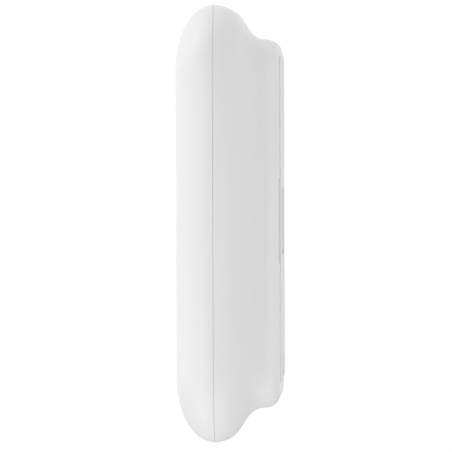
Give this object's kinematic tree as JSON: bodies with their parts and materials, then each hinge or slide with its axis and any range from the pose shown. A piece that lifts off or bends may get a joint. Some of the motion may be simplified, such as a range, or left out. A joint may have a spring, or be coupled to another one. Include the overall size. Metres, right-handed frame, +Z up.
{
  "type": "wall battery unit",
  "caption": "Rounded white two-shell home battery that hangs on a steel wall bracket, with pull-off front cover, side isolator knob and rear conduit entries.",
  "frame": {"origin": "wall plane at the back face of the bracket, middle of the width, half the height of the housing", "axes": "+X across the width, +Y into the wall, +Z up; the front faces -Y"},
  "size_m": [0.66, 0.2398, 1],
  "materials": {
    "panel_paint": "fine-textured white powder coat",
    "screw_steel": "zinc-plated fasteners",
    "zinc_steel": "zinc-plated folded steel",
    "bezel_plastic": "mid grey moulding",
    "copper": "bare copper",
    "circuit_board": "green solder mask",
    "cell_can": "aluminium can in blue film",
    "clip_plastic": "natural acetal",
    "cast_aluminium": "cast and milled aluminium",
    "capacitor_sleeve": "dark shrink sleeve",
    "choke_coating": "yellow epoxy coat",
    "hose_rubber": "black reinforced rubber",
    "reservoir_plastic": "natural translucent moulding",
    "foam": "grey closed-cell foam",
    "brass": "bare brass",
    "fan_plastic": "black moulding",
    "cover_paint": "satin white lacquer on a moulded shell",
    "switchgear_plastic": "black glass-filled moulding",
    "liner_plastic": "light grey textured moulding",
    "seal_rubber": "soft mid grey seal",
    "knob_plastic": "red moulded grip",
    "fuse_ceramic": "ceramic body with plated caps",
    "pack_paint": "dark grey powder coat",
    "valve_plastic": "black moulding",
    "button_plastic": "black moulded cap",
    "pump_plastic": "black moulding",
    "shell_paint": "satin white powder coat",
    "light_guide": "clear diffusing rod",
    "terminal_plastic": "grey-green moulding",
    "pad_silicone": "grey filled silicone",
    "grille_plastic": "light grey moulded bars",
    "bracket_paint": "fine-textured white powder coat"
  },
  "bodies": {
    "bracket": {"wall_bracket": "bracket_paint", "bracket_hooks": "zinc_steel", "hook_rivets": "zinc_steel"},
    "unit": {"back_panel": "panel_paint", "back_panel_screws": "screw_steel", "button_bezel": "bezel_plastic", "cell_busbars": "copper", "cell_sense_boards": "circuit_board", "cells_left": "cell_can", "cells_middle": "cell_can", "cells_right": "cell_can", "chassis_frame": "zinc_steel", "clip_sockets": "clip_plastic", "cold_plate": "cast_aluminium", "conduit_hubs": "cast_aluminium", "control_board": "circuit_board", "converter_board": "circuit_board", "converter_capacitors": "capacitor_sleeve", "converter_housing": "cast_aluminium", "converter_inductors": "choke_coating", "converter_lid": "cast_aluminium", "coolant_hoses": "hose_rubber", "coolant_reservoir": "reservoir_plastic", "earth_stud": "brass", "fan_frames": "fan_plastic", "fan_tray": "zinc_steel", "fuse_block": "switchgear_plastic", "handhold_liners": "liner_plastic", "hanger_bolts": "screw_steel", "hanger_rails": "zinc_steel", "heat_exchanger": "cast_aluminium", "hub_seals": "seal_rubber", "isolator_bezel": "bezel_plastic", "isolator_body": "switchgear_plastic", "main_contactors": "switchgear_plastic", "main_fuse": "fuse_ceramic", "module_end_plates": "cast_aluminium", "pack_gasket": "seal_rubber", "pack_lid": "pack_paint", "pack_lid_screws": "screw_steel", "pack_tray": "pack_paint", "pack_vent_valve": "valve_plastic", "pump_housing": "pump_plastic", "rear_shell": "shell_paint", "seam_gasket": "seal_rubber", "status_board": "circuit_board", "status_light_guide": "light_guide", "switchgear_plate": "zinc_steel", "terminal_block": "terminal_plastic", "terminal_screws": "screw_steel", "thermal_pads": "pad_silicone", "vent_grilles": "grille_plastic"},
    "cover": {"front_cover": "cover_paint", "cover_studs": "clip_plastic", "cover_liner": "foam"},
    "isolator": {"isolator_knob": "knob_plastic"},
    "button": {"power_button": "button_plastic"},
    "fan_left": {"fan_rotor_left": "fan_plastic"},
    "fan_right": {"fan_rotor_right": "fan_plastic"},
    "pump": {"pump_impeller": "pump_plastic"}
  },
  "joints": [
    {"name": "unit_lift", "type": "slide", "parent": "bracket", "child": "unit", "axis": [0, 0, 1], "range_m": [0, 0.03]},
    {"name": "cover_pull", "type": "slide", "parent": "unit", "child": "cover", "axis": [0, -1, 0], "range_m": [0, 0.12]},
    {"name": "isolator_turn", "type": "hinge", "parent": "unit", "child": "isolator", "pos_m": [-0.295, -0.12, -0.23], "axis": [-1, 0, 0], "range_deg": [0, 90]},
    {"name": "button_press", "type": "slide", "parent": "unit", "child": "button", "axis": [1, 0, 0], "range_m": [0, 0.002], "stiffness_N_per_m": 400},
    {"name": "fan_left_spin", "type": "hinge", "parent": "unit", "child": "fan_left", "pos_m": [-0.06, -0.042, -0.39], "axis": [0, 0, 1], "continuous": true},
    {"name": "fan_right_spin", "type": "hinge", "parent": "unit", "child": "fan_right", "pos_m": [0.06, -0.042, -0.39], "axis": [0, 0, 1], "continuous": true},
    {"name": "pump_spin", "type": "hinge", "parent": "unit", "child": "pump", "pos_m": [0.28, -0.15, -0.12], "axis": [0, 0, 1], "continuous": true}
  ]
}
